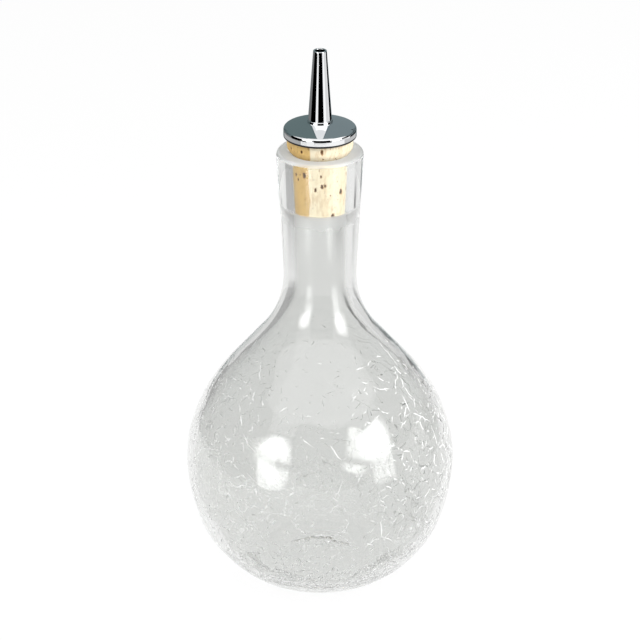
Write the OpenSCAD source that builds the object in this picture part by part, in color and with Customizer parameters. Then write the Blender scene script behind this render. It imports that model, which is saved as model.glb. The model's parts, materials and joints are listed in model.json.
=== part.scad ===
// Bitters bottle: a round blown-glass bottle, closed by a tapered cork that carries a metal
// dasher top. Lengths are in millimetres and angles in degrees. +Z is up, and the origin is
// the centre of the flat ring that the bottle stands on. Every piece is round about Z, so
// each one is an outline in the plane of radius and height, turned about that axis.

/* [Glass body] */
// Widest outside diameter of the round body
body_d = 92; // [86:1:98]
// Height of the widest point
belly_z = 42; // [39:0.5:45]
// Outline radius just below the widest point
lower_radius = 57.4; // [52:0.2:62]
// Angle through which that stretch turns
lower_turn = 21; // [12:1:26]
// Outline radius just above the widest point
upper_radius = 45; // [40:0.5:50]
// Angle through which that stretch turns
upper_turn = 22; // [14:1:30]
// Outline radius from there to the straight shoulder
shoulder_radius = 60.5; // [54:0.5:66]
// Slope of the straight shoulder, from the upright
shoulder_slope = 41; // [38:0.5:44]
// Radius of the hollow curve between shoulder and neck
neck_fillet = 32.5; // [27:0.5:38]
// Thickness of the glass round the body
body_wall = 3; // [2:0.1:4]

/* [Base] */
// Outside diameter of the flat ring that the bottle stands on
foot_d = 44; // [36:1:50]
// Width of that flat ring
foot_ring_w = 4.5; // [2:0.5:8]
// Radius of the rounded heel outside the ring
heel_radius = 3; // [1.5:0.5:6]
// Height of the hollow under the base
punt_depth = 2.5; // [1:0.5:5]
// Thickness of the glass at the middle of the base
base_wall = 5; // [3:0.5:8]
// Height that the inside floor rises towards the middle
floor_rise = 1.2; // [0.4:0.2:2.4]
// Radius of the inside corner between floor and wall
floor_corner = 15; // [8:1:19]

/* [Neck and lip] */
// Height of the glass, up to the lip
lip_z = 155; // [148:1:164]
// Outside diameter of the neck at the lip
lip_d = 29; // [27.6:0.2:31]
// Outward lean of the neck, from the upright
neck_flare = 2.95; // [1:0.05:4]
// Bore of the neck just under the lip
mouth_d = 18.4; // [17:0.2:19.6]
// Bore at the foot of the neck
throat_d = 16.6; // [15:0.2:17.4]
// Rounding of the lip's outside edge
lip_round = 1.2; // [0.4:0.1:1.8]
// Rounding of the mouth's inside edge
mouth_round = 1.4; // [0.8:0.1:2]

/* [Cork] */
// Length of the cork
cork_len = 25.6; // [22:0.2:34]
// Height of the cork that stands above the lip
cork_stand = 5.1; // [4:0.1:9]
// Diameter of the cork above the lip, where nothing squeezes it
cork_d = 22; // [20.6:0.2:24]
// Height above the lip at which the squeezed cork is back at full width
cork_swell_h = 2.4; // [1.6:0.2:3.6]
// Radial gap round the lower end of the cork
cork_end_gap = 0.55; // [0.15:0.05:0.9]
// Width of the small bevels on the cork's edges
cork_bevel = 0.35; // [0.1:0.05:0.8]

/* [Cap disc] */
// Diameter of the metal disc on the cork
cap_d = 24.2; // [22.6:0.2:28]
// Height of the disc at its rim
cap_rim_h = 3.35; // [2.6:0.05:5]
// Rounding of the rim's upper edge
cap_edge_round = 1; // [0.3:0.1:1.6]
// Rounding of the rim's lower edge
cap_under_round = 0.3; // [0.1:0.05:0.6]
// Slope of the domed top at the rim
cap_dome_slope = 21; // [4:1:24]

/* [Spout] */
// Height of the spout above the disc
spout_h = 24.7; // [18:0.1:32]
// Diameter of the cone at its foot
spout_base_d = 7.9; // [7.6:0.1:8.1]
// Outside diameter at the tip
spout_tip_d = 4.5; // [4.3:0.1:6]
// Diameter of the small flange under the cone
flange_d = 8.6; // [8.4:0.1:11]
// Height of that flange
flange_h = 0.8; // [0.5:0.1:1.5]
// Rounding of the flange and of the tip's edges
spout_round = 0.25; // [0.1:0.05:0.3]
// Bore that the liquid runs through, in stem and spout
channel_d = 3.2; // [2.4:0.1:3.5]

/* [Stem] */
// Outside diameter of the tube in the cork
stem_d = 6; // [5.2:0.1:7.6]
// Distance from the cork's lower end up to the tube's end
stem_recess = 0.5; // [0.2:0.1:4]
// Diameter over the barbs that grip the cork
barb_d = 6.8; // [6.4:0.1:9]
// Number of barbs
barb_count = 4; // [2:1:5]
// Height of one barb
barb_h = 2; // [1:0.1:2.6]
// Distance between barbs
barb_pitch = 4.5; // [3.5:0.1:5]
// Height of the lowest barb above the tube's end
barb_start = 3; // [1:0.2:6]
// Diameter of the collar that holds the disc
collar_d = 10; // [8:0.2:13]
// Thickness of that collar
collar_h = 1.2; // [0.8:0.1:1.6]
// Diameter of the spigot that goes up into the spout
spigot_d = 5; // [4.4:0.1:5.6]
// Height of the spigot inside the spout
spigot_grip = 3.8; // [2:0.1:5]

/* [Orifice] */
// Hole that lets out one dash at a time
orifice_d = 1.6; // [1:0.1:2.2]
// Thickness of the insert with that hole
orifice_h = 2; // [1.2:0.1:3]
// Depth of the funnel that leads into the hole
orifice_funnel = 0.6; // [0.2:0.1:1]

/* [Fits] */
// Radial gap between the squeezed cork and the mouth
cork_gap = 0.1; // [0.05:0.01:0.2]
// Gap all round the metal top where it turns on the cork
turn_gap = 0.05; // [0.03:0.01:0.1]
// Radial gap between metal pieces pressed together
press_gap = 0.02; // [0.01:0.01:0.05]

/* [Hidden] */
$fn = 96;
// Turn of an outline between two of its points
curve_step = 3;
// Turn between two points of a small rounded edge
edge_step = 15;
// Number of steps in the wavy hollow under the base and in the floor above it
wave_steps = 12;

// Unit vector at an angle
function toward(angle) = [cos(angle), sin(angle)];

// Points along an arc, leaving out its first one, which the stretch before it ends with.
// A negative radius gives a hollow curve, with its centre outside the glass.
function arc(centre, radius, from, to, step = curve_step) =
    let (count = ceil(abs(to - from) / step))
    [for (i = [1:count]) centre + radius * toward(from + (to - from) * i / count)];

// Height of a smooth hump that falls from its full rise at the axis to nothing at its edge
function hump(rise, share) = rise * (1 + cos(180 * share)) / 2;

// Outside of the glass, worked outwards from its widest point
belly = [body_d / 2, belly_z];
lower_centre = belly - [lower_radius, 0];
upper_centre = belly - [upper_radius, 0];
lower_end = lower_centre + lower_radius * toward(-lower_turn);
upper_end = upper_centre + upper_radius * toward(upper_turn);

// The base curve leaves the lower stretch smoothly and runs smoothly into the heel
heel_centre = [foot_d / 2, heel_radius];
heel_reach = lower_end - heel_centre;
base_radius = (heel_reach * heel_reach - heel_radius * heel_radius)
    / (2 * (heel_reach * toward(-lower_turn) - heel_radius));
base_centre = lower_end - base_radius * toward(-lower_turn);
heel_from_base = heel_centre - base_centre;
heel_angle = atan2(heel_from_base.y, heel_from_base.x);

// The straight shoulder is as long as it takes for the leaning neck to reach the lip
shoulder_centre = upper_end - shoulder_radius * toward(upper_turn);
shoulder_start = shoulder_centre + shoulder_radius * toward(shoulder_slope);
fillet_run = neck_fillet * [cos(shoulder_slope) - cos(neck_flare), sin(shoulder_slope) + sin(neck_flare)];
lip_gap = shoulder_start + fillet_run - [lip_d / 2, lip_z];
shoulder_len = (lip_gap.x - lip_gap.y * tan(neck_flare))
    / (sin(shoulder_slope) + cos(shoulder_slope) * tan(neck_flare));
shoulder_end = shoulder_start + shoulder_len * [-sin(shoulder_slope), cos(shoulder_slope)];
fillet_centre = shoulder_end + neck_fillet * toward(shoulder_slope);
neck_start = fillet_centre - neck_fillet * toward(-neck_flare);

// Lip and mouth
lip_edge = [lip_d / 2 - lip_round * tan(neck_flare) - lip_round / cos(neck_flare), lip_z - lip_round];
mouth_edge = [mouth_d / 2 + mouth_round, lip_z - mouth_round];

// Inside of the glass
neck_wall = (neck_start.x - throat_d / 2) / cos(neck_flare);
floor_z = punt_depth + base_wall - floor_rise;
inner_base_radius = base_radius - body_wall;
corner_drop = floor_z + floor_corner - base_centre.y;
corner_reach = inner_base_radius - floor_corner;
corner_centre = base_centre + [sqrt(corner_reach * corner_reach - corner_drop * corner_drop), corner_drop];
corner_angle = atan2(corner_drop, corner_centre.x - base_centre.x);
punt_r = foot_d / 2 - foot_ring_w;

// Bore of the neck at a height
throat_z = neck_start.y + neck_wall * sin(neck_flare);
function bore_r(z) = throat_d / 2 + (mouth_d - throat_d) / 2 * (z - throat_z) / (mouth_edge.y - throat_z);

// Cork
cork_top = lip_z + cork_stand;
cork_bottom = cork_top - cork_len;
cork_end_r = bore_r(cork_bottom) - cork_end_gap;
cork_mouth_round = mouth_round + cork_gap;
swell_reach = [cork_d / 2 - mouth_edge.x, lip_z + cork_swell_h - mouth_edge.y];
swell_radius = (swell_reach * swell_reach - cork_mouth_round * cork_mouth_round)
    / (2 * (cork_mouth_round + swell_reach.x));
swell_centre = [cork_d / 2 - swell_radius, lip_z + cork_swell_h];
swell_from_mouth = swell_centre - mouth_edge;
swell_angle = atan2(swell_from_mouth.y, swell_from_mouth.x);

// Metal top
cap_bottom = cork_top + turn_gap;
cap_edge = [cap_d / 2 - cap_edge_round, cap_bottom + cap_rim_h - cap_edge_round];
cap_shoulder = cap_edge + cap_edge_round * toward(90 - cap_dome_slope);
dome_radius = cap_shoulder.x / sin(cap_dome_slope);
dome_centre = [0, cap_shoulder.y - dome_radius * cos(cap_dome_slope)];
seat_angle = acos(flange_d / 2 / dome_radius);
seat_z = dome_centre.y + dome_radius * sin(seat_angle);
spout_top = seat_z + spout_h;
collar_top = cap_bottom + collar_h;
stem_bottom = cork_bottom + stem_recess;
spigot_top = seat_z + spigot_grip;
orifice_top = spigot_top + orifice_h;
socket_r = spigot_d / 2 + press_gap;
channel_r = channel_d / 2;

// One barb: it slopes out upwards and then steps back, so that it grips when it is pulled.
// The cork's bore is the same outline with the gap added all round.
function barb(z, gap) = [
    [stem_d / 2 + gap, z - gap],
    [barb_d / 2 + gap, z + barb_h - gap],
    [barb_d / 2 + gap, z + barb_h + gap],
    [stem_d / 2 + gap, z + barb_h + gap]
];

// All the barbs, from the lowest up
function barbs(gap) = [
    for (i = [0:barb_count - 1]) each barb(stem_bottom + barb_start + i * barb_pitch, gap)
];

// Turns an outline about the Z axis
module turned(outline) {
    rotate_extrude()
        polygon(outline);
}

// Blown bottle: round body, sloping shoulder and a thick neck that opens towards the lip
module glass_bottle() {
    punt = [for (i = [0:wave_steps]) [punt_r * i / wave_steps, hump(punt_depth, i / wave_steps)]];
    outside = concat(
        [[heel_centre.x, 0]],
        arc(heel_centre, heel_radius, -90, heel_angle, edge_step),
        arc(base_centre, base_radius, heel_angle, -lower_turn),
        arc(lower_centre, lower_radius, -lower_turn, 0),
        arc(upper_centre, upper_radius, 0, upper_turn),
        arc(shoulder_centre, shoulder_radius, upper_turn, shoulder_slope),
        [shoulder_end],
        arc(fillet_centre, -neck_fillet, shoulder_slope, -neck_flare)
    );
    lip = concat(
        [lip_edge + lip_round * toward(-neck_flare)],
        arc(lip_edge, lip_round, -neck_flare, 90, edge_step),
        [[mouth_edge.x, lip_z]],
        arc(mouth_edge, mouth_round, 90, 180, edge_step)
    );
    // The wall grows from its body thickness to its neck thickness along the hollow curve
    turn = shoulder_slope + neck_flare;
    fillet_steps = ceil(turn / curve_step);
    throat = [
        for (i = [0:fillet_steps])
            let (wall = neck_wall - hump(neck_wall - body_wall, 1 - i / fillet_steps))
            fillet_centre - (neck_fillet + wall) * toward(-neck_flare + turn * i / fillet_steps)
    ];
    inside = concat(
        throat,
        [shoulder_start - body_wall * toward(shoulder_slope)],
        arc(shoulder_centre, shoulder_radius - body_wall, shoulder_slope, upper_turn),
        arc(upper_centre, upper_radius - body_wall, upper_turn, 0),
        arc(lower_centre, lower_radius - body_wall, 0, -lower_turn),
        arc(base_centre, inner_base_radius, -lower_turn, corner_angle),
        arc(corner_centre, floor_corner, corner_angle, -90),
        [for (i = [1:wave_steps])
            [corner_centre.x * (1 - i / wave_steps), floor_z + hump(floor_rise, 1 - i / wave_steps)]]
    );
    color([0.86, 0.88, 0.87, 0.45])
        turned(concat(punt, outside, lip, inside));
}

// Tapered cork: squeezed by the neck below the lip, and swelling to its own width above it
module cork_stopper() {
    outside = concat(
        [[cork_end_r - cork_bevel, cork_bottom]],
        [[cork_end_r, cork_bottom + cork_bevel]],
        [mouth_edge - [cork_mouth_round, 0]],
        arc(mouth_edge, cork_mouth_round, 180, swell_angle, edge_step),
        arc(swell_centre, swell_radius, swell_angle - 180, 0, edge_step),
        [[cork_d / 2, cork_top - cork_bevel]],
        [[cork_d / 2 - cork_bevel, cork_top]]
    );
    bore = concat(
        [[stem_d / 2 + turn_gap, cork_bottom]],
        barbs(turn_gap),
        [[stem_d / 2 + turn_gap, cork_top]]
    );
    color([0.91, 0.8, 0.6])
        turned(concat(outside, [for (i = [len(bore) - 1:-1:0]) bore[i]]));
}

// Domed disc that lies on the cork, with a recess below for the stem's collar
module cap_disc() {
    hole_r = spigot_d / 2 + press_gap;
    recess_r = collar_d / 2 + press_gap;
    color([0.62, 0.66, 0.68])
        turned(concat(
            [[recess_r, cap_bottom]],
            [[cap_d / 2 - cap_under_round, cap_bottom]],
            arc([cap_d / 2 - cap_under_round, cap_bottom + cap_under_round], cap_under_round, -90, 0, edge_step),
            [[cap_d / 2, cap_edge.y]],
            arc(cap_edge, cap_edge_round, 0, 90 - cap_dome_slope, edge_step),
            arc(dome_centre, dome_radius, 90 - cap_dome_slope, seat_angle, 1),
            [[hole_r, seat_z]],
            [[hole_r, collar_top]],
            [[recess_r, collar_top]]
        ));
}

// Pouring cone, with a small flange at its foot and a socket for the stem inside
module dasher_spout() {
    flange_edge = [flange_d / 2 - spout_round, seat_z + flange_h - spout_round];
    tip_edge = [spout_tip_d / 2 - spout_round, spout_top - spout_round];
    hole_edge = [channel_r + spout_round, spout_top - spout_round];
    color([0.7, 0.72, 0.74])
        turned(concat(
            [[flange_d / 2, seat_z]],
            [[flange_d / 2, flange_edge.y]],
            arc(flange_edge, spout_round, 0, 90, edge_step),
            [[spout_base_d / 2, seat_z + flange_h]],
            [[spout_tip_d / 2, tip_edge.y]],
            arc(tip_edge, spout_round, 0, 90, edge_step),
            [[hole_edge.x, spout_top]],
            arc(hole_edge, spout_round, 90, 180, edge_step),
            [[channel_r, orifice_top]],
            [[socket_r, orifice_top]],
            [[socket_r, seat_z]]
        ));
}

// Tube that runs through the cork, clamps the disc with its collar and carries the spout
module stem_tube() {
    color([0.79, 0.68, 0.43])
        turned(concat(
            [[channel_r, stem_bottom]],
            [[stem_d / 2, stem_bottom]],
            barbs(0),
            [[stem_d / 2, cap_bottom]],
            [[collar_d / 2, cap_bottom]],
            [[collar_d / 2, collar_top]],
            [[spigot_d / 2, collar_top]],
            [[spigot_d / 2, spigot_top]],
            [[channel_r, spigot_top]]
        ));
}

// Small ring held between the stem and the spout, with the hole that sets the dash
module orifice_insert() {
    color([0.93, 0.93, 0.9])
        turned([
            [channel_r, spigot_top],
            [spigot_d / 2, spigot_top],
            [spigot_d / 2, orifice_top],
            [orifice_d / 2, orifice_top],
            [orifice_d / 2, spigot_top + orifice_funnel]
        ]);
}

glass_bottle();
cork_stopper();
cap_disc();
dasher_spout();
stem_tube();
orifice_insert();
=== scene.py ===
# %% [markdown]
# A bitters bottle is a small dash bottle for the bar. This one has a round body of crackled
# glass, a thick smooth neck, a tapered cork and a chromed top that lets out a few drops at a
# time. The solids come from a CAD model that also knows how the pieces move. This notebook
# dresses that model: it never moves a piece, it only gives each one its finer shape and finish.

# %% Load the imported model
import json
import math
import bpy
import numpy as np
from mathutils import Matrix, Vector

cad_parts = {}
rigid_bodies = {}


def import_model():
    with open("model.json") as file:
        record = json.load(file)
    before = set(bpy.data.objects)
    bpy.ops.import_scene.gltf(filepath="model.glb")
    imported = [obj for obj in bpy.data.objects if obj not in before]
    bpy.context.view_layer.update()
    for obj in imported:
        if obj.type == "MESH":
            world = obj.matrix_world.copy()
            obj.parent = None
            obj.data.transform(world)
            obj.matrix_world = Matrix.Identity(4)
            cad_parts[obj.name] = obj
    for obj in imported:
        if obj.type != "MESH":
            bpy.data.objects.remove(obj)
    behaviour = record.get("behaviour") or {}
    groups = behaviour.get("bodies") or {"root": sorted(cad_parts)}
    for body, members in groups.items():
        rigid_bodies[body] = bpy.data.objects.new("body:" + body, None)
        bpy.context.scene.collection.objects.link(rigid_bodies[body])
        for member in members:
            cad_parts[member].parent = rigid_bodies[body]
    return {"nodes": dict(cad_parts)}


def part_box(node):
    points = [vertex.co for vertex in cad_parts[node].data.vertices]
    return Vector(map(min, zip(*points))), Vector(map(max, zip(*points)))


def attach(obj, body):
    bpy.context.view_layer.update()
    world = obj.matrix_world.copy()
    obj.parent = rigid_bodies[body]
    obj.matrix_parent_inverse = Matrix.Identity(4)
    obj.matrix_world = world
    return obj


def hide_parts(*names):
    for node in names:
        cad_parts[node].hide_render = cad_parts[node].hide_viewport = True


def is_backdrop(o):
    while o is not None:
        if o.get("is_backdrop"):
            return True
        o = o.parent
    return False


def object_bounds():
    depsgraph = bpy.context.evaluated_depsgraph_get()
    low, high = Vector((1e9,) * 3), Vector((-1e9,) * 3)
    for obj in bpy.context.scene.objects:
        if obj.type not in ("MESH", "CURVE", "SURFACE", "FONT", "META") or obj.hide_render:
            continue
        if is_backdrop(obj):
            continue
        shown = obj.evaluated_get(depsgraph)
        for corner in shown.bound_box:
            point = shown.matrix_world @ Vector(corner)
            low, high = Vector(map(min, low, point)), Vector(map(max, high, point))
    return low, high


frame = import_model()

cad_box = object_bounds()
MM = 0.001
print("pieces of the model:", ", ".join(sorted(frame["nodes"])))

# %% [markdown]
# The bottle was photographed with a long lens from a little above the lip. A long lens keeps
# the neck as wide as it is, and the high view lets us see the top of the chromed disc.

# %% Camera
CAMERA_AIM = Vector((0.0, 0.0, 93.15 * MM))
CAMERA_DISTANCE = 1050 * MM
CAMERA_PITCH = math.radians(24.69)
LENS = 174.2
SENSOR_WIDTH = 36.0

camera_data = bpy.data.cameras.new("camera")
camera_data.lens = LENS
camera_data.sensor_width = SENSOR_WIDTH
camera = bpy.data.objects.new("camera", camera_data)
toward_camera = Vector((0.0, -math.cos(CAMERA_PITCH), math.sin(CAMERA_PITCH)))
camera.location = CAMERA_AIM + toward_camera * CAMERA_DISTANCE
camera.rotation_euler = (-toward_camera).to_track_quat("-Z", "Y").to_euler()
bpy.context.scene.collection.objects.link(camera)
bpy.context.scene.camera = camera
bpy.context.scene.view_settings.view_transform = "Standard"
print("camera stands at", [round(c, 3) for c in camera.location])

# %% [markdown]
# A finish is a small graph of shader nodes. Written out node by node it is long and hard to
# read, so two helpers do the wiring. Number stands for one output socket and lets us write
# maths on it as maths. Recipe holds the graph, and its node method adds any other node.

# %% A short way to write shader and geometry graphs
class Number:
    """An output socket of a node. Sums and products of it add Math nodes to the same graph."""

    def __init__(self, recipe, socket):
        self.recipe = recipe
        self.socket = socket

    def math(self, operation, *terms):
        inputs = dict(enumerate(terms))
        return self.recipe.node("ShaderNodeMath", {"operation": operation}, inputs)

    def __add__(self, other):
        return self.math("ADD", self, other)

    def __sub__(self, other):
        return self.math("SUBTRACT", self, other)

    def __rsub__(self, other):
        return self.math("SUBTRACT", other, self)

    def __mul__(self, other):
        return self.math("MULTIPLY", self, other)

    def __truediv__(self, other):
        return self.math("DIVIDE", self, other)

    def __rtruediv__(self, other):
        return self.math("DIVIDE", other, self)

    def __pow__(self, other):
        return self.math("POWER", self, other)

    def __lt__(self, other):
        return self.math("LESS_THAN", self, other)

    def __gt__(self, other):
        return self.math("GREATER_THAN", self, other)

    __radd__ = __add__
    __rmul__ = __mul__


class Recipe:
    """A graph of nodes under construction."""

    def __init__(self, tree):
        self.tree = tree
        tree.nodes.clear()

    def node(self, kind, settings=None, inputs=None, output=0):
        """Adds a node, sets it up, fills or links its sockets, and gives back one output.
        Sockets that share a name with others of the node are given by their number."""
        made = self.tree.nodes.new(kind)
        for name, value in (settings or {}).items():
            setattr(made, name, value)
        for name, value in (inputs or {}).items():
            if isinstance(value, Number):
                self.tree.links.new(value.socket, made.inputs[name])
            else:
                made.inputs[name].default_value = value
        return Number(self, made.outputs[output]) if made.outputs else None

    def mix(self, factor, first, second):
        """Blends two colours."""
        colours = {0: factor, 6: first, 7: second}
        return self.node("ShaderNodeMix", {"data_type": "RGBA"}, colours, 2)


def colour(red, green, blue):
    """A colour as a screen shows it, 0 to 255, turned into the light values that shaders use
    by the sRGB curve."""
    light = []
    for level in (red, green, blue):
        share = level / 255
        light.append(share / 12.92 if share <= 0.04045 else ((share + 0.055) / 1.055) ** 2.4)
    return (*light, 1.0)


def new_finish(name):
    """An empty material and the recipe of its graph."""
    material = bpy.data.materials.new(name)
    material.use_nodes = True
    return material, Recipe(material.node_tree)


def principled(recipe, **sockets):
    """Ends a finish in a Principled shader. Socket names are given with _ for a space."""
    inputs = {name.replace("_", " "): value for name, value in sockets.items()}
    shader = recipe.node("ShaderNodeBsdfPrincipled", inputs=inputs)
    recipe.node("ShaderNodeOutputMaterial", inputs={"Surface": shader})

# %% [markdown]
# Clear glass has no colour of its own to speak of: it is drawn by what stands around it. The
# world is plain white where the eye, a mirror image or a refracted ray meets it, and about half
# as bright as a source of light. The floor is a white sheet that looks as white as the world
# when it is seen from above, so that no horizon shows behind the bottle. It throws light up at
# the matte things that stand on it, and the bottle's soft shadow still falls on it. It lies a
# hair under the foot of the bottle, so that the two faces never share one plane.

# %% World and floor
WORLD_LIGHT = 0.55
FLOOR_WHITE = 0.15
FLOOR_LIFT = 0.84
FLOOR_BOUNCE = 0.6
FLOOR_SIZE = 8.0
FLOOR_TOP = -0.02 * MM
WHITE = (1.0, 1.0, 1.0, 1.0)


def seen_directly(recipe):
    """1 for rays from the camera and for mirrored and refracted ones, 0 for diffuse light."""
    ray = {kind: recipe.node("ShaderNodeLightPath", output=kind)
           for kind in ("Is Camera Ray", "Is Glossy Ray", "Is Transmission Ray")}
    total = ray["Is Camera Ray"] + ray["Is Glossy Ray"] + ray["Is Transmission Ray"]
    return total.math("MINIMUM", total, 1.0)


def make_world():
    world = bpy.data.worlds.new("studio")
    world.use_nodes = True
    recipe = Recipe(world.node_tree)
    strength = seen_directly(recipe) * (1 - WORLD_LIGHT) + WORLD_LIGHT
    light = recipe.node("ShaderNodeBackground", inputs={"Color": WHITE, "Strength": strength})
    recipe.node("ShaderNodeOutputWorld", inputs={"Surface": light})
    bpy.context.scene.world = world


def make_floor():
    half = FLOOR_SIZE / 2
    corners = [(x * half, y * half, FLOOR_TOP) for x, y in ((-1, -1), (1, -1), (1, 1), (-1, 1))]
    mesh = bpy.data.meshes.new("floor")
    mesh.from_pydata(corners, [], [(0, 1, 2, 3)])
    floor = bpy.data.objects.new("floor", mesh)
    bpy.context.scene.collection.objects.link(floor)
    material, recipe = new_finish("white_sheet")
    matte = recipe.node("ShaderNodeBsdfDiffuse", inputs={"Color": (FLOOR_WHITE,) * 3 + (1.0,)})
    lift = seen_directly(recipe) * (FLOOR_LIFT - FLOOR_BOUNCE) + FLOOR_BOUNCE
    glow = recipe.node("ShaderNodeEmission", inputs={"Color": WHITE, "Strength": lift})
    both = recipe.node("ShaderNodeAddShader", inputs={0: matte, 1: glow})
    recipe.node("ShaderNodeOutputMaterial", inputs={"Surface": both})
    material.cycles.emission_sampling = "NONE"
    mesh.materials.append(material)
    floor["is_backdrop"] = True


make_world()
make_floor()
print("floor and world are white")

# %% [markdown]
# Two things light the set. Area lamps give plain light for everything matte, more of it from
# the right, where the cork is brightest. Cards give the shiny surfaces something to mirror. They
# stand on a circle round the bottle, hidden from the camera and from matte surfaces, so they
# draw highlights and dark edges without lighting the set. The soft boxes fade towards their
# edges, as real ones do, so the highlights on the glass have soft edges too. The small dark
# card behind the right shoulder fades into the white of the room in the same way.
#
# A ray that is mirrored by the chrome or by the outside of the glass arrives at a card as a
# glossy ray. One that has been inside the glass arrives as a transmission ray. Each card is
# shown to one kind or to both, so the metal and the glass can have pictures of their own. A
# ray that comes from the cork through the neck is of the second kind as well, so the cards that
# the glass sees are also what lights the cork inside it.

# %% Lamps and cards
CARD_CIRCLE = 0.33
CARD_FACET = math.radians(3)
FADE_ROUNDING = 0.3


def lamp(name, azimuth, elevation, distance, size, level):
    """An area lamp aimed at the bottle. Level is how bright it makes a white card that faces it."""
    a, e = math.radians(azimuth), math.radians(elevation)
    out = Vector((math.sin(a) * math.cos(e), -math.cos(a) * math.cos(e), math.sin(e)))
    data = bpy.data.lights.new(name, "AREA")
    data.size = size
    data.energy = level * (math.pi * distance) ** 2
    made = bpy.data.objects.new(name, data)
    made.location = CAMERA_AIM + out * distance
    made.rotation_euler = (-out).to_track_quat("-Z", "Y").to_euler()
    made.visible_camera = False
    made.visible_glossy = False
    made.visible_transmission = False
    bpy.context.scene.collection.objects.link(made)


def fade_at_edges(recipe, soft):
    """1 in the middle of a card, falling to 0 at its edges."""
    here = recipe.node("ShaderNodeTexCoord", output="UV")
    fade = 1.0
    for axis in "XY":
        share = recipe.node("ShaderNodeSeparateXYZ", inputs={0: here}, output=axis)
        to_edge = share.math("MINIMUM", share, 1.0 - share) / soft
        fade = to_edge.math("SMOOTH_MIN", to_edge, 1.0, FADE_ROUNDING) * fade
    return fade


def card(name, start, end, bottom, top, glow, seen_by, tint=WHITE, soft=0.0, edge=0.0):
    """A bent card from one azimuth to another, in degrees, with 0 towards the camera, and from
    one height to another. Soft is the share of its width and of its height over which its glow
    goes over to edge, the glow at its sides."""
    a, b = math.radians(start), math.radians(end)
    steps = max(2, math.ceil((b - a) / CARD_FACET))
    columns = [a + (b - a) * i / steps for i in range(steps + 1)]
    points = [(CARD_CIRCLE * math.sin(c), -CARD_CIRCLE * math.cos(c), z)
              for c in columns for z in (bottom, top)]
    faces = [(2 * i, 2 * i + 1, 2 * i + 3, 2 * i + 2) for i in range(steps)]
    mesh = bpy.data.meshes.new(name)
    mesh.from_pydata(points, [], faces)
    corner_of = [(i, high) for i in range(steps + 1) for high in (0, 1)]
    places = [corner_of[i] for face in faces for i in face]
    across = [(i / steps, high) for i, high in places]
    mesh.uv_layers.new(name="across").uv.foreach_set("vector", np.ravel(across))
    made = bpy.data.objects.new(name, mesh)
    bpy.context.scene.collection.objects.link(made)
    material, recipe = new_finish(name)
    if soft:
        glow = fade_at_edges(recipe, soft) * (glow - edge) + edge
    light = recipe.node("ShaderNodeEmission", inputs={"Color": tint, "Strength": glow})
    recipe.node("ShaderNodeOutputMaterial", inputs={"Surface": light})
    material.cycles.emission_sampling = "NONE"
    mesh.materials.append(material)
    made.visible_camera = False
    made.visible_diffuse = False
    made.visible_shadow = False
    made.visible_glossy = "glossy" in seen_by
    made.visible_transmission = "transmission" in seen_by
    made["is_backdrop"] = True


lamp("key", azimuth=55, elevation=40, distance=1.4, size=0.9, level=0.9)
lamp("fill", azimuth=-60, elevation=50, distance=1.6, size=1.2, level=0.38)

METAL = ("glossy",)
GLASS = ("transmission",)
BOTH = METAL + GLASS
BOX_GLOW = 16.0
BOX_SOFT = 0.4
INNER_GLOW = 8.7
INNER_SOFT = 0.15
BAND_BOTTOM = 0.038
BAND_TOP = 0.12
LEFT_BOX_FOOT = 0.13
LEFT_BOX_TOP = 0.25
RIGHT_BOX_FOOT = 0.12
RIGHT_BOX_TOP = 0.30
SKYLIGHT_FOOT = 0.36
SKYLIGHT_TOP = 0.62
FLAG_TOP = 0.34
print("soft boxes: the two highlights of the body")
card("box_left", -57, -23, LEFT_BOX_FOOT, LEFT_BOX_TOP, BOX_GLOW, BOTH, soft=BOX_SOFT)
card("box_left_foot", -54, -27, 0.0, BAND_TOP, INNER_GLOW, GLASS, soft=INNER_SOFT)
card("box_right", 35, 71, RIGHT_BOX_FOOT, RIGHT_BOX_TOP, BOX_GLOW, METAL, soft=BOX_SOFT)
card("box_right_inner", 44, 70, 0.0, RIGHT_BOX_TOP, INNER_GLOW, GLASS, soft=INNER_SOFT)
card("skylight", -57, 95, SKYLIGHT_FOOT, SKYLIGHT_TOP, 1.5, BOTH)

print("flags: the dark between the boxes")
card("flag_left", -150, -57, BAND_TOP, FLAG_TOP, 0.0, METAL)
card("flag_middle", -23, 31, BAND_TOP, FLAG_TOP, 0.0, METAL)
card("flag_right", 71, 162, BAND_TOP, FLAG_TOP, 0.0, METAL)

print("bands and skirts: the dark dashes on the rim of the disc and the stripes of the cone")
card("band_grey", -150, -99, BAND_BOTTOM, BAND_TOP, 0.2, METAL)
card("band_left", -99, -42, BAND_BOTTOM, BAND_TOP, 0.0, METAL)
card("band_front", -19, 36, BAND_BOTTOM, BAND_TOP, 0.0, METAL)
card("band_pale", 62, 96, BAND_BOTTOM, BAND_TOP, 0.8, METAL)
card("band_right", 106, 150, BAND_BOTTOM, BAND_TOP, 0.0, METAL)
card("skirt_left", -150, -62, 0.0, BAND_BOTTOM, 0.45, METAL)
card("skirt_right", 82, 150, 0.0, BAND_BOTTOM, 0.6, METAL)

print("slates: the blue-grey behind the bottle that the disc mirrors")
SLATE_TOP = 1.1
SLATE_LEFT = (0.135, 0.185, 0.19, 1.0)
SLATE_RIGHT = (0.2, 0.25, 0.265, 1.0)
card("slate_left", 180, 261, BAND_TOP, SLATE_TOP, 1.0, METAL, SLATE_LEFT)
card("slate_right", 99, 180, BAND_TOP, SLATE_TOP, 1.0, METAL, SLATE_RIGHT)
card("slate_left_foot", 180, 210, 0.0, BAND_TOP, 1.0, METAL, SLATE_LEFT)
card("slate_right_foot", 150, 180, 0.0, BAND_TOP, 1.0, METAL, SLATE_RIGHT)

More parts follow.
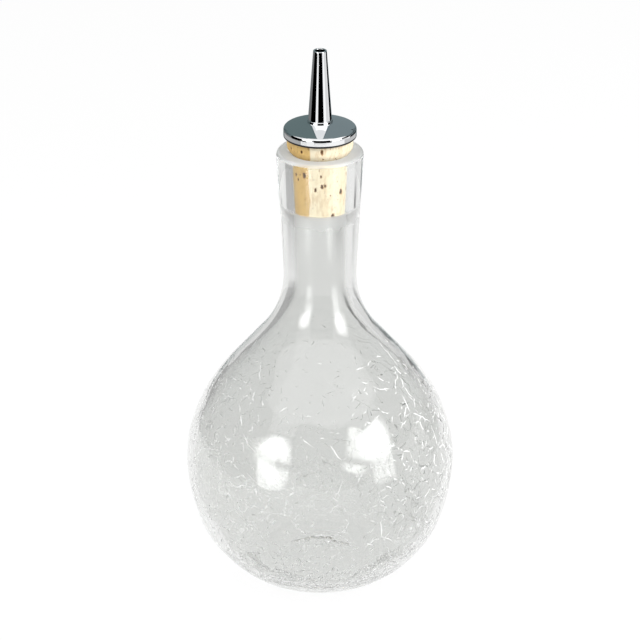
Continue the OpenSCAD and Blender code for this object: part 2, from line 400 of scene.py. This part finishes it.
STREAK_TOP = 0.03
STREAK_SOFT = 0.25
print("shades: the dimmer left edge of the glass and the dark streak in its right shoulder")
card("shade_left", -150, -57, 0.0, FLAG_TOP, 0.5, GLASS)
card("shade_streak", 151, 171, 0.0, STREAK_TOP, 0.03, GLASS, soft=STREAK_SOFT, edge=1.0)

# %% [markdown]
# Every solid of this bottle is round about the upright axis, so all of its shape is in one
# outline of radius and height. The outline can be read back from the solid itself: its mesh has
# a ring of points for each corner of the outline, and each triangle joins two rings that are
# neighbours. Reading it keeps the fine meshes exactly on the sizes of the CAD model.

# %% Read the outline of a turned solid
SAME_POINT = 0.005 * MM


def outline_of(node):
    """A node's outline as (radius, height) in order, with the material on its left, and
    whether it closes on itself or runs from axis to axis."""
    mesh = frame["nodes"][node].data
    points = np.empty(len(mesh.vertices) * 3)
    mesh.vertices.foreach_get("co", points)
    points = points.reshape(-1, 3)
    rings = np.column_stack([np.hypot(points[:, 0], points[:, 1]), points[:, 2]])
    corners, ring_of_point = np.unique(np.round(rings, 6), axis=0, return_inverse=True)
    gaps = np.linalg.norm(corners[:, None] - corners[None], axis=2)
    first_alike = (gaps < SAME_POINT).argmax(axis=1)
    ring_of_point = first_alike[ring_of_point.ravel()]
    neighbours = {}
    for polygon in mesh.polygons:
        ends = [int(ring_of_point[i]) for i in polygon.vertices]
        for a, b in zip(ends, ends[1:] + ends[:1]):
            if a != b:
                neighbours.setdefault(a, set()).add(b)
                neighbours.setdefault(b, set()).add(a)
    on_axis = [ring for ring in neighbours if len(neighbours[ring]) == 1]
    start = min(on_axis or neighbours, key=lambda ring: corners[ring][1])
    path = [start]
    step = max(neighbours[start], key=lambda ring: corners[ring][0])
    while step is not None and step != start:
        path.append(step)
        onward = [ring for ring in neighbours[step] if ring not in path[-2:]]
        step = onward[0] if onward else None
    return corners[path], not on_axis


for node in sorted(frame["nodes"]):
    outline, closed = outline_of(node)
    print(node, "has", len(outline), "corners,", "a closed loop" if closed else "axis to axis")

# %% [markdown]
# The solids carry their curves as short straight steps. A mirror or a thick lens shows such
# steps as bands, so the outline is drawn again as a smooth curve through the same corners. Where
# it turns sharply it keeps its corner. Turning the outline round the axis gives the mesh.

# %% Smooth an outline and turn it
SHARP_TURN = math.radians(30)
FINE_TURN = math.radians(4.5)


def smooth_outline(corners, closed, step):
    """Points on a curve through the corners, which stays sharp where they are. They lie about
    step apart, and closer where the outline bends more than a fine turn."""
    count = len(corners)
    before = corners - np.roll(corners, 1, axis=0)
    after = np.roll(corners, -1, axis=0) - corners
    across = (before + after) / np.linalg.norm(before + after, axis=1)[:, None]
    turn = np.abs(np.arctan2(before[:, 0] * after[:, 1] - before[:, 1] * after[:, 0],
                             (before * after).sum(axis=1)))
    smooth = turn < SHARP_TURN
    if not closed:
        smooth[[0, -1]] = False
    fine = []
    for i in range(count if closed else count - 1):
        j = (i + 1) % count
        length = np.linalg.norm(after[i])
        straight = after[i] / length
        leave = (across[i] if smooth[i] else straight) * length
        arrive = (across[j] if smooth[j] else straight) * length
        bend = max(turn[i] if smooth[i] else 0, turn[j] if smooth[j] else 0)
        pieces = max(1, math.ceil(length / step), math.ceil(bend / FINE_TURN))
        for k in range(pieces):
            s = k / pieces
            fine.append((2 * s**3 - 3 * s**2 + 1) * corners[i] + (s**3 - 2 * s**2 + s) * leave
                        + (3 * s**2 - 2 * s**3) * corners[j] + (s**3 - s**2) * arrive)
    if not closed:
        fine.append(corners[-1])
    return np.clip(fine, corners.min(axis=0), corners.max(axis=0))


def turned_mesh(name, node, step, sides, reshape=None):
    """Turns a node's outline, drawn finely, round the axis. Reshape may move its points."""
    corners, closed = outline_of(node)
    outline = smooth_outline(corners, closed, step)
    angles = np.arange(sides) * 2 * math.pi / sides
    points = []
    rows = []
    for radius, height in outline:
        first = len(points)
        if radius < SAME_POINT:
            points.append((0.0, 0.0, height))
            rows.append([first] * sides)
        else:
            points.extend((radius * math.cos(a), radius * math.sin(a), height) for a in angles)
            rows.append(list(range(first, first + sides)))
    faces = []
    for i in range(len(rows) if closed else len(rows) - 1):
        low, high = rows[i], rows[(i + 1) % len(rows)]
        for j in range(sides):
            k = (j + 1) % sides
            face = [low[j], low[k], high[k], high[j]]
            faces.append(list(dict.fromkeys(face)))
    points = np.array(points)
    if reshape:
        points = reshape(points)
    mesh = bpy.data.meshes.new(name)
    mesh.from_pydata(points.tolist(), [], faces)
    mesh.shade_smooth()
    mesh.set_sharp_from_angle(angle=SHARP_TURN)
    return mesh


def place(mesh, body, material, slot, *nodes):
    """Makes an object of a finished mesh with its material, ties it to its body and hides its CAD
    nodes. Slot is not used.
    """
    made = bpy.data.objects.new(mesh.name, mesh)
    bpy.context.scene.collection.objects.link(made)
    mesh.materials.clear()
    mesh.materials.append(material)
    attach(made, body)
    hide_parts(*nodes)
    print(f"{mesh.name}: {len(mesh.polygons)} faces on {body}")

# %% [markdown]
# The glass is clear and a little grey. Its skin is smooth. The lip is ground, which scatters
# light and turns it milky, and so is a soft-edged ring of the bore under the cork. The rest of
# the bore is only hazy, and it looks clear again where the cork lies against it. The cracks
# have rough faces, which show white here and there. A crack attribute on the mesh tells the
# shader where they are. The glass takes away only a trace of the light inside it, which shows
# where rays run a long way through it.
#
# Straight shadow rays can't bend through glass, so they pass it as through a grey filter: the
# lamps then reach the cork and the cracks, as they do through real glass.

# %% Finish of the glass
GLASS_IOR = 1.5
CLEAR_TINT = (0.815, 0.821, 0.81, 1)
FROST_TINT = (0.95, 0.95, 0.95, 1)
DEEP_TINT = (0.40, 0.42, 0.36, 1)
GLASS_DEPTH = 1.0
SHADOW_TINT = (0.97, 0.97, 0.97, 1)
GROUND_ROUGHNESS = 0.35
HAZE_ROUGHNESS = 0.18
CRACK_ROUGHNESS = 0.3
FROST_ROUGHNESS = 0.7
LIP_MILK = 0.22
JOINT_MILK = 0.1
CRACK_PATCH = 0.4
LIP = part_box("glass_bottle")[1].z - 0.9 * MM
CORK_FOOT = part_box("cork_stopper")[0].z
JOINT_FOOT = CORK_FOOT - 5 * MM
JOINT_FADE = 5 * MM
JOINT_RAGGED = 1.5
BORE_RADIUS = 10.2 * MM
HAZE_FOOT = 88 * MM
HAZE_FADE = 20 * MM
HAZE_AT_CORK = 0.6
CONTACT_FADE = 1.5 * MM


def between(value, low, high):
    """Keeps a number inside two limits."""
    return value.math("MINIMUM", value.math("MAXIMUM", value, low), high)


def crackle_glass():
    material, recipe = new_finish("crackle_glass")
    node = recipe.node
    here = node("ShaderNodeTexCoord", output="Object")
    x, y, height = (node("ShaderNodeSeparateXYZ", inputs={0: here}, output=axis) for axis in "XYZ")
    radius = (x * x + y * y) ** 0.5
    in_bore = radius < BORE_RADIUS
    cloud = node("ShaderNodeTexNoise", inputs={"Vector": here, "Scale": 260.0, "Detail": 3.0})
    ragged = (cloud - 0.5) * JOINT_RAGGED
    joint = between((height - JOINT_FOOT) / JOINT_FADE + ragged, 0, 1) * in_bore
    below_cork = between((CORK_FOOT + CONTACT_FADE - height) / CONTACT_FADE, 0, 1)
    in_air = below_cork * (1 - HAZE_AT_CORK) + HAZE_AT_CORK
    haze = between((height - HAZE_FOOT) / HAZE_FADE, 0, 1) * in_bore * in_air
    joint = joint * below_cork
    lip = height > LIP
    crack = node("ShaderNodeAttribute", {"attribute_name": "crack"}, output="Fac")
    ground = joint.math("MAXIMUM", joint, lip)
    rough = ground * GROUND_ROUGHNESS + haze * HAZE_ROUGHNESS + crack * CRACK_ROUGHNESS
    clear = node("ShaderNodeBsdfPrincipled", inputs={
        "Base Color": CLEAR_TINT, "IOR": GLASS_IOR, "Transmission Weight": 1.0, "Roughness": rough})
    frost = node("ShaderNodeBsdfPrincipled", inputs={
        "Base Color": FROST_TINT, "Roughness": FROST_ROUGHNESS, "IOR": GLASS_IOR})
    patches = node("ShaderNodeTexNoise", inputs={"Vector": here, "Scale": 500.0})
    frosted = crack * (patches > CRACK_PATCH) + lip * LIP_MILK + joint * JOINT_MILK
    surface = node("ShaderNodeMixShader", inputs={0: frosted, 1: clear, 2: frost})
    filtered = node("ShaderNodeBsdfTransparent", inputs={"Color": SHADOW_TINT})
    shadow = node("ShaderNodeLightPath", output="Is Shadow Ray")
    surface = node("ShaderNodeMixShader", inputs={0: shadow, 1: surface, 2: filtered})
    depth = {"Color": DEEP_TINT, "Density": GLASS_DEPTH}
    inside = node("ShaderNodeVolumeAbsorption", inputs=depth)
    node("ShaderNodeOutputMaterial", inputs={"Surface": surface, "Volume": inside})
    return material


glass = crackle_glass()
print("ground joint from", round(JOINT_FOOT / MM, 1), "mm up")

# %% [markdown]
# Crackle glass is dipped in water while it is hot, cracks all over, and is blown a little
# further. Each island of skin between cracks stays almost flat, so a highlight on it breaks up
# into facets. The facets are made by points spread over a sphere: every part of the skin is
# drawn in towards the flat of its nearest point, more in the middle than at the edge. It is
# done twice, for broad facets and for small ones, and fades out on the foot and the shoulder.

# %% Facets of the blown body
BELLY_HEIGHT = 42.0 * MM
BELLY = Vector((0.0, 0.0, BELLY_HEIGHT))
BELLY_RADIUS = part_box("glass_bottle")[1].x
DISORDER = 0.45
CRACK_TOP = 92 * MM
SHOULDER_FADE = 12 * MM
FOOT_FADE = 10 * MM


def cell_reach(count):
    """Radius of the disc that is one point's share of the unit sphere."""
    return math.sqrt(4 / count)


def evenly_spread(count, seed):
    """Unit vectors spread over the sphere with a little disorder."""
    chance = np.random.default_rng(seed)
    step = np.arange(count) + 0.5
    up = 1 - 2 * step / count
    turn = step * math.pi * (1 + math.sqrt(5))
    flat = np.sqrt(1 - up ** 2)
    spread = np.column_stack([flat * np.cos(turn), flat * np.sin(turn), up])
    spread += chance.normal(0, DISORDER * cell_reach(count), spread.shape)
    return spread / np.linalg.norm(spread, axis=1)[:, None]


def flatten_cells(points, count, share, seed):
    """Draws each cell of the body's skin a little towards its own flat facet."""
    seeds = evenly_spread(count, seed)
    away = points - np.array(BELLY)
    distance = np.linalg.norm(away, axis=1)
    direction = away / distance[:, None]
    angle = np.arccos(np.clip((direction @ seeds.T).max(axis=1), -1, 1))
    dip = share * BELLY_RADIUS / 2 * np.clip(cell_reach(count) ** 2 - angle ** 2, 0, None)
    height = points[:, 2]
    on_shoulder = np.clip((CRACK_TOP - height) / SHOULDER_FADE, 0, 1)
    on_foot = np.clip(height / FOOT_FADE, 0, 1)
    return points - direction * (dip * (on_shoulder * on_foot))[:, None]


def facet_body(points):
    """Broad facets and small ones."""
    points = flatten_cells(points, count=120, share=0.25, seed=5)
    return flatten_cells(points, count=700, share=0.2, seed=6)


body = turned_mesh("blown_body", "glass_bottle", step=2.4 * MM, sides=168, reshape=facet_body)
print("blown body:", len(body.polygons), "faces")

# %% [markdown]
# Geometry Nodes make what repeats: the cracks here, and the pits of the cork further on. A tree
# is built in the script with named inputs, so one tree serves for wide and for fine cracks.
# Three helpers are shared. One starts a tree with its inputs, one ends it, and one runs it on a
# mesh and gives the result back as a plain mesh.

# %% A short way to write and run geometry trees
def new_tree(name, **kinds):
    """A geometry tree with one input for each name, its recipe, and the sockets of its inputs."""
    tree = bpy.data.node_groups.new(name, "GeometryNodeTree")
    for title, kind in kinds.items():
        tree.interface.new_socket(title, in_out="INPUT", socket_type="NodeSocket" + kind)
    tree.interface.new_socket("Result", in_out="OUTPUT", socket_type="NodeSocketGeometry")
    recipe = Recipe(tree)
    given = {title: recipe.node("NodeGroupInput", output=title) for title in kinds}
    return tree, recipe, given


def end_tree(recipe, mesh, material):
    """Ends a tree in plain geometry of one material."""
    mesh = recipe.node("GeometryNodeRealizeInstances", inputs={0: mesh})
    mesh = recipe.node("GeometryNodeSetMaterial", inputs={0: mesh, "Material": material})
    recipe.node("NodeGroupOutput", inputs={"Result": mesh})


def run_tree(tree, mesh, **sizes):
    """Runs a tree on a mesh and gives back the plain mesh that it makes."""
    carrier = bpy.data.objects.new(tree.name, mesh)
    bpy.context.scene.collection.objects.link(carrier)
    modifier = carrier.modifiers.new(tree.name, "NODES")
    modifier.node_group = tree
    for socket in tree.interface.items_tree:
        if socket.in_out == "INPUT" and socket.name in sizes:
            modifier[socket.identifier] = sizes[socket.name]
    graph = bpy.context.evaluated_depsgraph_get()
    result = bpy.data.meshes.new_from_object(carrier.evaluated_get(graph))
    bpy.data.objects.remove(carrier)
    print(tree.name, "made", len(result.polygons), "faces")
    return result


# %% [markdown]
# A crack is a thin blade of air that goes into the glass from its skin. The network of cracks
# starts as points spread over a ball. Their hull and its dual give cells, and the edges of the
# cells are the crack lines. Some lines are dropped, all are shortened and bent by noise, and a
# ray from outside sets each point on the real skin. A thin rhombus swept along each line gives
# the blade. Its depth varies with noise and runs out towards the ends.
#
# The upper half of the front and of the back is clearer than the sides and the foot. The input
# named thin says how much more of the lines the noise takes away there.

# %% The crack tree
SKIN_COVER = 0.2 * MM
RAY_START = 0.2
BALL_POINTS = 6.0
FEWEST_POINTS = 3
FIRST_CORNER_SOCKET = 7
END_CUT = 0.25
CLEAR_FROM = 22 * MM
CLEAR_FADE = 25 * MM
CLEAR_SHALLOWER = 0.5
WAIST = 0.4
LEAN = 0.3


def crack_tree():
    tree, recipe, given = new_tree(
        "crackle", glass="Geometry", cell="Float", step="Float", depth="Float", gap="Float",
        dropped="Float", broken="Float", thin="Float", low="Float", high="Float", seed="Int")
    node = recipe.node
    seed = given["seed"]

    def vector(operation, a, b=(0.0, 0.0, 0.0), scale=1.0):
        return node("ShaderNodeVectorMath", {"operation": operation}, {0: a, 1: b, 3: scale})

    def chance(low, high, salt):
        return node("FunctionNodeRandomValue", inputs={2: low, 3: high, 8: seed + salt}, output=1)

    def noise(scale, output):
        return node("ShaderNodeTexNoise", {"noise_dimensions": "4D"},
                    {"W": seed, "Scale": scale, "Detail": 2.0}, output)

    def bend(lines, amount, scale):
        middle = vector("SUBTRACT", noise(scale, "Color"), (0.5, 0.5, 0.5))
        offset = vector("SCALE", middle, scale=amount)
        return node("GeometryNodeSetPosition", inputs={0: lines, "Offset": offset})

    spacing = given["cell"] / BELLY_RADIUS
    ball = node("GeometryNodeMeshIcoSphere", inputs={"Radius": 1.0, "Subdivisions": 5})
    crowd = BALL_POINTS / (spacing * spacing)
    seeds = node("GeometryNodeDistributePointsOnFaces", {"distribute_method": "POISSON"},
                 {"Mesh": ball, "Distance Min": spacing, "Density Max": crowd, "Seed": seed})
    hull = node("GeometryNodeConvexHull", inputs={0: seeds})
    cells = node("GeometryNodeDualMesh", inputs={0: hull})
    lines = node("GeometryNodeMeshToCurve", inputs={0: cells})
    dropped = node("FunctionNodeRandomValue", {"data_type": "BOOLEAN"},
                   {"Probability": given["dropped"], "Seed": seed + 1}, 3)
    lines = node("GeometryNodeDeleteGeometry", {"domain": "CURVE"}, {0: lines, 1: dropped})
    lines = node("GeometryNodeTrimCurve", {"mode": "FACTOR"},
                 {0: lines, 2: chance(0.0, END_CUT, 2), 3: chance(1.0 - END_CUT, 1.0, 3)})
    step = given["step"] / BELLY_RADIUS
    lines = node("GeometryNodeResampleCurve", {"mode": "LENGTH"}, {0: lines, "Length": step})
    lines = bend(lines, amount=0.2, scale=4.0)
    lines = bend(lines, amount=0.06, scale=20.0)
    here = node("GeometryNodeInputPosition")
    outward = vector("NORMALIZE", here)
    inward = vector("SCALE", outward, scale=-1.0)
    start = vector("ADD", vector("SCALE", outward, scale=RAY_START), tuple(BELLY))
    ray = {0: given["glass"], "Source Position": start, "Ray Direction": inward,
           "Ray Length": RAY_START}
    hit = {part: node("GeometryNodeRaycast", inputs=ray, output=part)
           for part in ("Hit Position", "Hit Normal")}
    lines = node("GeometryNodeStoreNamedAttribute", {"data_type": "FLOAT_VECTOR"},
                 {0: lines, "Name": "outward", "Value": hit["Hit Normal"]})
    cover = vector("SCALE", hit["Hit Normal"], scale=-SKIN_COVER)
    skin = vector("ADD", hit["Hit Position"], cover)
    lines = node("GeometryNodeSetPosition", inputs={0: lines, "Position": skin})
    x, height = (node("ShaderNodeSeparateXYZ", inputs={0: here}, output=axis) for axis in "XZ")
    to_side = x.math("ABSOLUTE", x) / BELLY_RADIUS
    clear = (1.0 - to_side) * between((height - CLEAR_FROM) / CLEAR_FADE, 0.0, 1.0)
    gone = (height < given["low"]) + (height > given["high"])
    gone = gone + (noise(500.0, "Fac") < given["broken"] + given["thin"] * clear)
    lines = node("GeometryNodeDeleteGeometry", {"domain": "POINT"}, {0: lines, 1: gone})
    crumb = node("GeometryNodeSplineLength", output="Point Count") < FEWEST_POINTS
    lines = node("GeometryNodeDeleteGeometry", {"domain": "CURVE"}, {0: lines, 1: crumb})
    normal = node("GeometryNodeInputNamedAttribute", {"data_type": "FLOAT_VECTOR"}, {0: "outward"})
    lines = node("GeometryNodeSetCurveNormal", {"mode": "FREE"}, {0: lines, "Normal": normal})
    lean = (noise(400.0, "Fac") - 0.5) * LEAN
    lines = node("GeometryNodeSetCurveTilt", inputs={0: lines, "Tilt": lean})
    along = node("GeometryNodeSplineParameter", output="Factor")
    taper = between(along * (1.0 - along) * 8.0, 0.15, 1.0)
    shallow = 1.0 - clear * CLEAR_SHALLOWER
    size = between(noise(300.0, "Fac") * 1.6 - 0.1, 0.3, 1.1) * taper * shallow
    half = given["gap"] * 0.5
    waist = given["depth"] * -WAIST
    corners = [(0.0, 0.0), (half, waist), (0.0, given["depth"] * -1.0), (half * -1.0, waist)]
    corners = [node("ShaderNodeCombineXYZ", inputs={0: wide, 1: deep}) for wide, deep in corners]
    rhombus = {FIRST_CORNER_SOCKET + i: corner for i, corner in enumerate(corners)}
    blade = node("GeometryNodeCurvePrimitiveQuadrilateral", {"mode": "POINTS"}, rhombus)
    sweep = {0: lines, 1: blade, "Scale": size, "Fill Caps": True}
    end_tree(recipe, node("GeometryNodeCurveToMesh", inputs=sweep), glass)
    return tree


# %% [markdown]
# The blades lie inside the wall and face inwards, so the renderer leaves the glass where a ray
# enters one. They are joined to the body, because a crack is a part of the glass and not a
# piece of its own. The volume of each mesh is printed: the body's is positive, and those of the
# blades are negative, as hollows in it should be.

# %% The crackled bottle
def signed_volume(mesh):
    """Cubic millimetres inside a closed mesh, negative if it faces inwards."""
    mesh.calc_loop_triangles()
    total = 0.0
    for triangle in mesh.loop_triangles:
        a, b, c = (mesh.vertices[i].co for i in triangle.vertices)
        total += a.dot(b.cross(c)) / 6
    return round(total / MM ** 3, 2)


def joined(name, *meshes):
    """One mesh of several. The crack attribute is 1 on every part but the first."""
    points, faces, in_crack = [], [], []
    for number, mesh in enumerate(meshes):
        first = len(points)
        points.extend(vertex.co.copy() for vertex in mesh.vertices)
        faces.extend([first + i for i in polygon.vertices] for polygon in mesh.polygons)
        in_crack.extend([min(number, 1)] * len(mesh.vertices))
    whole = bpy.data.meshes.new(name)
    whole.from_pydata(points, [], faces)
    whole.shade_smooth()
    whole.set_sharp_from_angle(angle=SHARP_TURN)
    whole.attributes.new("crack", "FLOAT", "POINT").data.foreach_set("value", in_crack)
    return whole


crackle = crack_tree()
wide = run_tree(crackle, body, cell=13 * MM, step=1.0 * MM, depth=0.6 * MM, gap=0.03 * MM,
                dropped=0.35, broken=0.3, thin=0.3, low=4 * MM, high=90 * MM, seed=3)
short = run_tree(crackle, body, cell=5 * MM, step=0.6 * MM, depth=0.65 * MM, gap=0.03 * MM,
                 dropped=0.42, broken=0.43, thin=0.13, low=3 * MM, high=88 * MM, seed=4)
fine = run_tree(crackle, body, cell=2.8 * MM, step=0.5 * MM, depth=0.55 * MM, gap=0.03 * MM,
                dropped=0.45, broken=0.455, thin=0.09, low=3 * MM, high=80 * MM, seed=7)
heel = run_tree(crackle, body, cell=2.4 * MM, step=0.5 * MM, depth=1.0 * MM, gap=0.3 * MM,
                dropped=0.15, broken=0.43, thin=0.0, low=1.5 * MM, high=20 * MM, seed=9)
parts = (body, wide, short, fine, heel)
print("volumes in mm3:", [signed_volume(mesh) for mesh in parts])
place(joined("crackled_bottle", *parts), "bottle", glass, "crackle_glass", "glass_bottle")

# %% [markdown]
# Natural cork is punched from bark, so the bark's yearly layers run through it as upright
# bands, tan and pale. Small pits, the pores of the bark, cross them. The pits are real dents
# here, because their dark mouths catch the eye on the outline too. A second tree scatters them:
# each point of the mesh asks for the nearest pit, and sinks if it lies inside that pit.

# %% The pit tree
PIT_SQUEEZE = (1.0, 1.0, 0.5)
PIT_RAGGED = 1.2
PIT_REACH = 1.2


def pit_tree(material):
    tree, recipe, given = new_tree(
        "cork_pits", cork="Geometry", density="Float", smallest="Float", largest="Float",
        depth="Float", bore="Float", seed="Int")
    node = recipe.node

    def vector(operation, a, b=(0.0, 0.0, 0.0), scale=1.0, output=0):
        terms = {0: a, 1: b, 3: scale}
        return node("ShaderNodeVectorMath", {"operation": operation}, terms, output)

    def of_pit(kind, value):
        return node("GeometryNodeSampleIndex", {"data_type": kind},
                    {"Geometry": pits, "Value": value, "Index": nearest})

    here = node("GeometryNodeInputPosition")
    squeezed = vector("MULTIPLY", here, PIT_SQUEEZE)
    pits = node("GeometryNodeDistributePointsOnFaces", inputs={
        "Mesh": given["cork"], "Density": given["density"], "Seed": given["seed"]})
    pits = node("GeometryNodeSetPosition", inputs={0: pits, "Position": squeezed})
    nearest = node("GeometryNodeSampleNearest",
                   inputs={"Geometry": pits, "Sample Position": squeezed})
    middle = of_pit("FLOAT_VECTOR", here)
    chance = node("FunctionNodeRandomValue", inputs={2: 0.0, 3: 1.0, 8: given["seed"]}, output=1)
    size = of_pit("FLOAT", given["smallest"] + (given["largest"] - given["smallest"]) * chance ** 2)
    noise = node("ShaderNodeTexNoise", inputs={"Scale": 1500.0, "Detail": 2.0})
    away = vector("LENGTH", vector("SUBTRACT", squeezed, middle), output="Value")
    ragged = (noise - 0.5) * PIT_RAGGED
    inside = between(1.0 - away / size + ragged, 0.0, 1.0) * (away < size * PIT_REACH)
    x, y = (node("ShaderNodeSeparateXYZ", inputs={0: here}, output=axis) for axis in "XY")
    pit = inside * (((x * x + y * y) ** 0.5) > given["bore"])
    normal = node("GeometryNodeInputNormal")
    sink = vector("SCALE", normal, scale=pit * given["depth"] * -1.0)
    mesh = node("GeometryNodeStoreNamedAttribute",
                inputs={0: given["cork"], "Name": "pit", "Value": pit})
    mesh = node("GeometryNodeSetPosition", inputs={0: mesh, "Offset": sink})
    end_tree(recipe, mesh, material)
    return tree


# %% [markdown]
# The colour of the cork is worked out from its place. One clear border between two layers runs
# down the front: tan to its left and pale to its right. Fainter layers follow further on. Fine
# grain darkens it here and there, and the pits are brown with a rust-coloured edge.

# %% Cork
LAYER_EDGE = -3.3 * MM
LAYER_BLUR = 0.35 * MM
LAYER_PITCH = 5.2 * MM
LAYER_WOBBLE = 1.6 * MM
TAN_BARK = colour(232, 196, 126)
PALE_BARK = colour(255, 243, 214)
LAYER_BARK = colour(224, 188, 128)
GRAIN_BROWN = colour(205, 165, 105)
SPECK_BROWN = colour(140, 98, 56)
PIT_RUST = colour(196, 146, 84)
PIT_BROWN = colour(84, 56, 32)


def bumps(node, strength, distance, height):
    """Fine relief from a pattern, for the Normal socket of a shader."""
    return node("ShaderNodeBump",
                inputs={"Strength": strength, "Distance": distance, "Height": height})


def natural_cork():
    material, recipe = new_finish("natural_cork")
    node = recipe.node
    here = node("ShaderNodeTexCoord", output="Object")
    x = node("ShaderNodeSeparateXYZ", inputs={0: here}, output="X")

    def noise(scale, stretch=(1.0, 1.0, 1.0), detail=2.0):
        mapped = node("ShaderNodeMapping", inputs={"Vector": here, "Scale": stretch})
        return node("ShaderNodeTexNoise",
                    inputs={"Vector": mapped, "Scale": scale, "Detail": detail})

    across = x + (noise(120.0) - 0.5) * LAYER_WOBBLE
    right = between((across - LAYER_EDGE) / LAYER_BLUR, 0, 1)
    base = recipe.mix(right, TAN_BARK, PALE_BARK)
    phase = across * (2 * math.pi / LAYER_PITCH)
    layers = phase.math("SINE", phase)
    base = recipe.mix(between(layers * 0.3 - 0.1, 0, 0.15), base, LAYER_BARK)
    grain = noise(900.0, (1.0, 1.0, 0.35), 4.0)
    base = recipe.mix(between(grain * 2.2 - 1.05, 0, 0.35), base, GRAIN_BROWN)
    speck = noise(1700.0, (1.0, 1.0, 0.6), 1.0)
    base = recipe.mix(between((speck - 0.68) * 9.0, 0, 0.75), base, SPECK_BROWN)
    pit = node("ShaderNodeAttribute", {"attribute_name": "pit"}, output="Fac")
    base = recipe.mix(between(pit * 4.0, 0, 0.75), base, PIT_RUST)
    base = recipe.mix(between((pit - 0.22) * 5.0, 0, 0.95), base, PIT_BROWN)
    rough = between(grain * 0.3 + 0.62, 0, 1)
    relief = bumps(node, strength=0.35, distance=0.1 * MM, height=grain)
    principled(recipe, Base_Color=base, Roughness=rough, Normal=relief)
    return material


cork = natural_cork()
smooth_cork = turned_mesh("smooth_cork", "cork_stopper", step=0.24 * MM, sides=280)
pitted = run_tree(pit_tree(cork), smooth_cork, density=5.5e4, smallest=0.12 * MM,
                  largest=0.66 * MM, depth=0.35 * MM, bore=6 * MM, seed=11)
pitted.name = "tapered_cork"
place(pitted, "stopper", cork, "natural_cork", "cork_stopper")

# %% [markdown]
# The top is chromed brass: one mirror-like finish for the disc and the cone. Chrome has almost
# no colour, so the cards make its picture. Small smudges vary its gloss, or it would look
# drawn. A dark, rougher band along the disc's lower edge is painted shade for the shade under its
# rim.

# %% Chrome
# painted shade: the disc is darkened from its foot up to this height, as shade under the rim
SHADE_BAND_HEIGHT = 0.75 * MM
EDGE_BLUR = 0.15 * MM
DISC_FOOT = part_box("cap_disc")[0].z
BRIGHT_CHROME = (0.86, 0.87, 0.88, 1)
SMUDGED_CHROME = (0.82, 0.83, 0.845, 1)
# the colour of the painted shade band under the disc's rim
PAINTED_SHADE_CHROME = (0.03, 0.03, 0.035, 1)


def polished_chrome():
    material, recipe = new_finish("polished_chrome")
    node = recipe.node
    here = node("ShaderNodeTexCoord", output="Object")
    height = node("ShaderNodeSeparateXYZ", inputs={0: here}, output="Z")
    # painted shade: a dark, rougher band along the disc's lower edge stands in for shade under the
    # rim
    painted_shade = between((DISC_FOOT + SHADE_BAND_HEIGHT - height) / EDGE_BLUR, 0, 1)
    smudge = node("ShaderNodeTexNoise", inputs={"Vector": here, "Scale": 170.0, "Detail": 4.0})
    shine = recipe.mix(between(smudge * 1.5 - 0.6, 0, 1), BRIGHT_CHROME, SMUDGED_CHROME)
    base = recipe.mix(painted_shade, shine, PAINTED_SHADE_CHROME)
    rough = between(smudge * 0.1 - 0.02, 0.02, 0.07) + painted_shade * 0.4
    principled(recipe, Base_Color=base, Roughness=rough, Metallic=1.0)
    return material


chrome = polished_chrome()
disc = turned_mesh("chromed_disc", "cap_disc", step=0.4 * MM, sides=192)
place(disc, "dasher", chrome, "polished_chrome", "cap_disc")
cone = turned_mesh("pouring_cone", "dasher_spout", step=0.4 * MM, sides=192)
place(cone, "dasher", chrome, "polished_chrome", "dasher_spout")

# %% [markdown]
# The stem and the dash insert sit inside the cork and the cone, so little more than their ends
# can be seen. The stem is plain brass from a lathe, so fine rings of the tool run round it. The
# insert is a white moulded ring.

# %% Stem and insert
TOOL_PITCH = 0.22 * MM
BRIGHT_BRASS = colour(205, 172, 104)
STAINED_BRASS = colour(158, 122, 68)
POLYMER_LIGHT = colour(244, 244, 240)
POLYMER_SHADE = colour(230, 230, 224)


def turned_brass():
    material, recipe = new_finish("stem_brass")
    node = recipe.node
    here = node("ShaderNodeTexCoord", output="Object")
    height = node("ShaderNodeSeparateXYZ", inputs={0: here}, output="Z")
    turns = height * (2 * math.pi / TOOL_PITCH)
    rings = turns.math("SINE", turns)
    stain = node("ShaderNodeTexNoise", inputs={"Vector": here, "Scale": 300.0, "Detail": 4.0})
    base = recipe.mix(between(stain * 2.0 - 0.7, 0, 1), BRIGHT_BRASS, STAINED_BRASS)
    rough = stain * 0.3 + 0.12
    relief = bumps(node, strength=0.4, distance=0.02 * MM, height=rings)
    principled(recipe, Base_Color=base, Roughness=rough, Metallic=1.0, Normal=relief)
    return material


def white_polymer():
    material, recipe = new_finish("white_polymer")
    node = recipe.node
    here = node("ShaderNodeTexCoord", output="Object")
    grain = node("ShaderNodeTexNoise", inputs={"Vector": here, "Scale": 900.0, "Detail": 3.0})
    base = recipe.mix(grain, POLYMER_LIGHT, POLYMER_SHADE)
    rough = grain * 0.2 + 0.3
    relief = bumps(node, strength=0.2, distance=0.02 * MM, height=grain)
    principled(recipe, Base_Color=base, Roughness=rough, Normal=relief)
    return material


stem = turned_mesh("barbed_stem", "stem_tube", step=0.4 * MM, sides=96)
place(stem, "dasher", turned_brass(), "stem_brass", "stem_tube")
insert = turned_mesh("dash_orifice", "orifice_insert", step=0.2 * MM, sides=64)
place(insert, "dasher", white_polymer(), "white_polymer", "orifice_insert")

# %% [markdown]
# A ray that enters the thick foot of the glass can be mirrored round inside it for more than
# eighty turns before it comes out. Where fewer are allowed it ends in there and leaves a black
# spot, so the limits are raised. Last, the box of the dressed model is written beside the box
# of the CAD model, to see that dressing it didn't make it grow.

# %% Light paths and sizes
GLASS_TURNS = 200
paths = bpy.context.scene.cycles
paths.max_bounces = GLASS_TURNS
paths.glossy_bounces = GLASS_TURNS
paths.transmission_bounces = GLASS_TURNS

sizes = {"cad": [list(corner) for corner in cad_box],
         "visual": [list(corner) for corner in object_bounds()]}
for name, box in sizes.items():
    print(name, "box in mm:", [round(c / MM, 2) for corner in box for c in corner])
